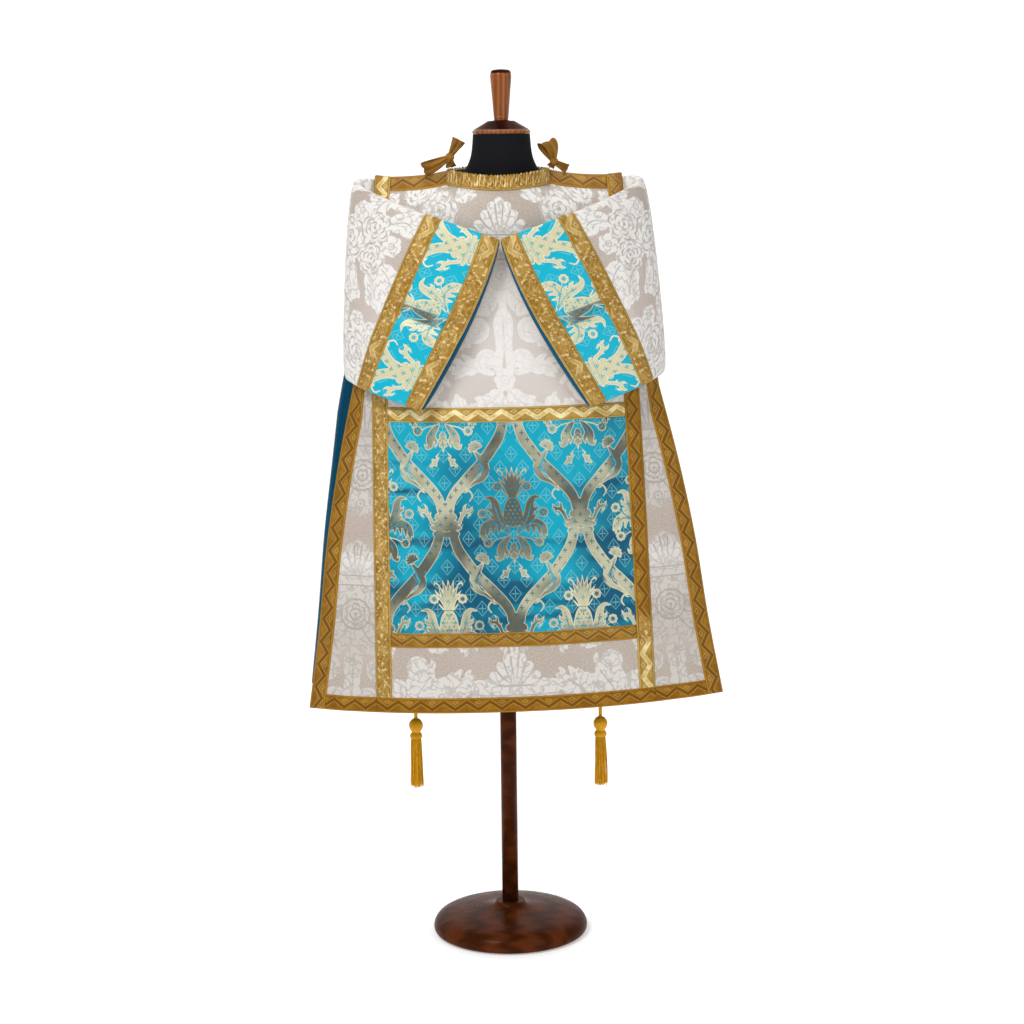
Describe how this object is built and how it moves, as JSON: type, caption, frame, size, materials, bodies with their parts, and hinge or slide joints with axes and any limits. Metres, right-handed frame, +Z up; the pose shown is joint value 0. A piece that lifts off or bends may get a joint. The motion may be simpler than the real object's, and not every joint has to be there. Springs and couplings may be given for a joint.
{
  "type": "tunicle on dress form",
  "caption": "Short-sleeved liturgical overgarment in pale damask with turquoise panels and gold braid, laid over a limbless form on a round base.",
  "frame": {"origin": "centre of the round base's flat underside, on the floor", "axes": "+Z up, the garment's front faces -Y, +X is the wearer's left"},
  "size_m": [0.8087, 0.3764, 1.6903],
  "materials": {
    "damask": "satin",
    "turquoise_brocade": "satin",
    "gold_braid": "metallic thread",
    "ribbon": "satin",
    "blue_lining": "satin",
    "girdle_rope": "silk",
    "black_jersey": "matte",
    "wood": "varnished"
  },
  "bodies": {
    "root": {"front": "damask", "front_lining": "blue_lining", "front_square": "turquoise_brocade", "front_chest_braid": "gold_braid", "front_lower_braid": "gold_braid", "front_hem_braid": "gold_braid", "front_neck_braid": "gold_braid", "front_shoulder_braid_left": "gold_braid", "front_shoulder_braid_right": "gold_braid", "front_upright_braid_left": "gold_braid", "front_upright_braid_right": "gold_braid", "front_wing_left": "damask", "front_wing_lining_left": "blue_lining", "front_edge_braid_left": "gold_braid", "front_wing_hem_braid_left": "gold_braid", "front_wing_right": "damask", "front_wing_lining_right": "blue_lining", "front_edge_braid_right": "gold_braid", "front_wing_hem_braid_right": "gold_braid", "back": "damask", "back_lining": "blue_lining", "back_square": "turquoise_brocade", "back_chest_braid": "gold_braid", "back_lower_braid": "gold_braid", "back_hem_braid": "gold_braid", "back_neck_braid": "gold_braid", "back_shoulder_braid_left": "gold_braid", "back_shoulder_braid_right": "gold_braid", "back_upright_braid_left": "gold_braid", "back_upright_braid_right": "gold_braid", "back_wing_left": "damask", "back_wing_lining_left": "blue_lining", "back_edge_braid_left": "gold_braid", "back_wing_hem_braid_left": "gold_braid", "back_wing_right": "damask", "back_wing_lining_right": "blue_lining", "back_edge_braid_right": "gold_braid", "back_wing_hem_braid_right": "gold_braid", "sleeve_left": "damask", "sleeve_lining_left": "blue_lining", "cuff_upper_braid_left": "gold_braid", "cuff_band_left": "turquoise_brocade", "cuff_edge_braid_left": "gold_braid", "sleeve_right": "damask", "sleeve_lining_right": "blue_lining", "cuff_upper_braid_right": "gold_braid", "cuff_band_right": "turquoise_brocade", "cuff_edge_braid_right": "gold_braid", "tie_left": "ribbon", "tie_right": "ribbon", "girdle": "girdle_rope", "girdle_end_left": "girdle_rope", "tassel_left": "girdle_rope", "girdle_end_right": "girdle_rope", "tassel_right": "girdle_rope", "bust": "black_jersey", "neck_cap": "wood", "pole": "wood", "base": "wood"}
  },
  "joints": []
}
